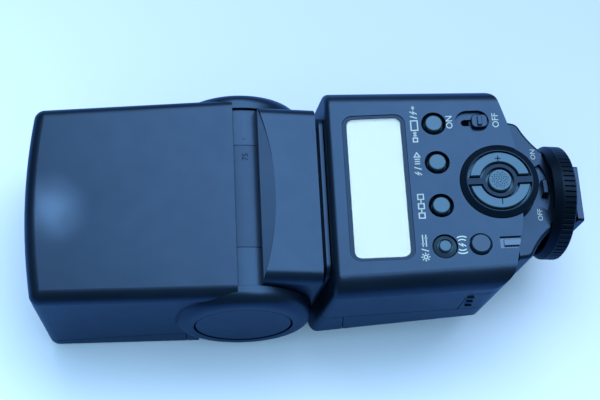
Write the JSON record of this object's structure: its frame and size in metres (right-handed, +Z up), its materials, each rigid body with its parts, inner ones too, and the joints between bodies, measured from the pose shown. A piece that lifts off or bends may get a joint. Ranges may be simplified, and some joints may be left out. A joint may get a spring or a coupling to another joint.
{
  "type": "speedlight flash",
  "caption": "Shoe-mount electronic flash lying on its front, with a tilting and swivelling head, display, keys, dial, battery door and knurled shoe lock wheel.",
  "frame": {"origin": "bottom centre of the bounding box, on the table the flash lies on", "axes": "+X from the head towards the mounting foot, +Y to the right-hand side of the flash, +Z up, out of the control panel"},
  "size_m": [0.1736, 0.0708, 0.0475],
  "materials": {
    "shell_black": "fine satin texture",
    "disc_black": "satin",
    "lens_clear": "prismatic clear plastic",
    "window_red": "dark red translucent",
    "lamp_clear": "gloss",
    "display_clear": "clear",
    "display_grey": "pale display",
    "frame_black": "satin gloss",
    "key_grey": "satin",
    "test_clear": "gloss dome",
    "wheel_black": "knurled",
    "foot_metal": "dull plated",
    "pin_brass": "plated",
    "steel": "plain",
    "reflector_metal": "polished",
    "tube_glass": "clear",
    "boot_rubber": "silicone",
    "inner_plastic": "moulded",
    "board_green": "circuit board",
    "capacitor_sleeve": "sleeve",
    "cell_wrap": "plain wrap, bare"
  },
  "bodies": {
    "body": {"rear_cover": "shell_black", "front_cover": "shell_black", "body_screws": "steel", "af_window": "window_red", "af_lamp": "lamp_clear", "display_frame": "frame_black", "display_window": "display_clear", "display_module": "display_grey", "main_board": "board_green", "main_capacitor": "capacitor_sleeve", "key_mat": "boot_rubber", "dial_collar": "shell_black", "light_pipe": "lamp_clear", "battery_box": "inner_plastic", "battery_cells": "cell_wrap", "battery_plates": "pin_brass", "swivel_bush": "inner_plastic", "shoe_base": "shell_black", "foot": "foot_metal", "contact_pins": "pin_brass"},
    "neck": {"neck_rear_cover": "shell_black", "neck_front_cover": "shell_black", "neck_screws": "steel", "angle_scale": "disc_black", "tilt_shaft": "steel", "neck_collar": "disc_black", "swivel_tube": "steel", "swivel_retainer": "steel"},
    "head": {"head_top_cover": "shell_black", "head_bottom_cover": "shell_black", "head_screws": "steel", "front_lens": "lens_clear", "panel_tray": "inner_plastic", "zoom_rails": "steel", "zoom_motor": "steel", "trigger_board": "board_green", "pivot_cap": "disc_black"},
    "release": {"bounce_release_button": "disc_black"},
    "diffuser": {"wide_panel": "lens_clear"},
    "carriage": {"reflector": "reflector_metal", "flash_tube": "tube_glass", "tube_boots": "boot_rubber", "zoom_carriage": "inner_plastic"},
    "screw": {"zoom_screw": "steel"},
    "zoom_key": {"zoom_button": "key_grey"},
    "sync_key": {"sync_button": "key_grey"},
    "mode_key": {"mode_button": "key_grey"},
    "light_key": {"light_button": "key_grey"},
    "test_key": {"test_button": "test_clear"},
    "plus": {"plus_key": "key_grey"},
    "minus": {"minus_key": "key_grey"},
    "select": {"select_key": "key_grey"},
    "switch": {"power_switch": "frame_black"},
    "slave": {"slave_switch": "frame_black"},
    "wheel": {"lock_wheel": "wheel_black"},
    "clamp": {"clamp_plate": "foot_metal"},
    "latch_pin": {"lock_pin": "steel"},
    "door_slider": {"door_hinge_pin": "steel"},
    "door": {"battery_door": "shell_black", "door_contacts": "pin_brass"}
  },
  "joints": [
    {"name": "swivel", "type": "hinge", "parent": "body", "child": "neck", "pos_m": [-0.02032, 0, 0.02831], "axis": [0.9816, 0, -0.1908], "range_deg": [-90, 180]},
    {"name": "tilt", "type": "hinge", "parent": "neck", "child": "head", "pos_m": [-0.02127, 0, 0.0234], "axis": [0, 1, 0], "range_deg": [-75, 15]},
    {"name": "bounce_release", "type": "slide", "parent": "head", "child": "release", "axis": [0, -1, 0], "range_m": [0, 0.0011], "stiffness_N_per_m": 400},
    {"name": "wide_panel_slide", "type": "slide", "parent": "head", "child": "diffuser", "axis": [-1, 0, 0], "range_m": [0, 0.021]},
    {"name": "zoom_screw_turn", "type": "hinge", "parent": "head", "child": "screw", "pos_m": [-0.06127, 0, 0.0082], "axis": [1, 0, 0], "range_deg": [0, 1080]},
    {"name": "zoom_travel", "type": "slide", "parent": "head", "child": "carriage", "axis": [1, 0, 0], "range_m": [0, 0.009]},
    {"name": "zoom_button_press", "type": "slide", "parent": "body", "child": "zoom_key", "axis": [0, 0, -1], "range_m": [0, 0.0005], "stiffness_N_per_m": 300},
    {"name": "sync_button_press", "type": "slide", "parent": "body", "child": "sync_key", "axis": [0, 0, -1], "range_m": [0, 0.0005], "stiffness_N_per_m": 300},
    {"name": "mode_button_press", "type": "slide", "parent": "body", "child": "mode_key", "axis": [0, 0, -1], "range_m": [0, 0.0005], "stiffness_N_per_m": 300},
    {"name": "light_button_press", "type": "slide", "parent": "body", "child": "light_key", "axis": [0, 0, -1], "range_m": [0, 0.0005], "stiffness_N_per_m": 300},
    {"name": "test_button_press", "type": "slide", "parent": "body", "child": "test_key", "axis": [0, 0, -1], "range_m": [0, 0.0005], "stiffness_N_per_m": 300},
    {"name": "plus_press", "type": "slide", "parent": "body", "child": "plus", "axis": [0, 0, -1], "range_m": [0, 0.0005], "stiffness_N_per_m": 300},
    {"name": "minus_press", "type": "slide", "parent": "body", "child": "minus", "axis": [0, 0, -1], "range_m": [0, 0.0005], "stiffness_N_per_m": 300},
    {"name": "select_press", "type": "slide", "parent": "body", "child": "select", "axis": [0, 0, -1], "range_m": [0, 0.0005], "stiffness_N_per_m": 300},
    {"name": "power_slide", "type": "slide", "parent": "body", "child": "switch", "axis": [-1, 0, 0], "range_m": [0, 0.0046]},
    {"name": "slave_turn", "type": "hinge", "parent": "body", "child": "slave", "pos_m": [0.05923, 0, 0.037], "axis": [0, 0, 1], "range_deg": [0, 18]},
    {"name": "lock_turn", "type": "hinge", "parent": "body", "child": "wheel", "pos_m": [0.0772, 0, 0.02687], "axis": [0.9816, 0, -0.1908], "range_deg": [0, 170]},
    {"name": "clamp_travel", "type": "slide", "parent": "body", "child": "clamp", "axis": [0.9816, 0, -0.1908], "range_m": [0, 0.0005]},
    {"name": "lock_pin_travel", "type": "slide", "parent": "body", "child": "latch_pin", "axis": [0.9816, 0, -0.1908], "range_m": [0, 0.0014]},
    {"name": "door_slide", "type": "slide", "parent": "body", "child": "door_slider", "axis": [1, 0, 0], "range_m": [0, 0.0025]},
    {"name": "door_swing", "type": "hinge", "parent": "door_slider", "child": "door", "pos_m": [0.03373, -0.0304, 0.011], "axis": [1, 0, 0], "range_deg": [0, 90]}
  ],
  "couplings": [
    {"joint": "zoom_screw_turn", "follows": "zoom_travel", "rad_per_m": 2094.4},
    {"joint": "lock_turn", "follows": "clamp_travel", "rad_per_m": 5934.1},
    {"joint": "lock_pin_travel", "follows": "clamp_travel", "ratio": 2.8}
  ]
}
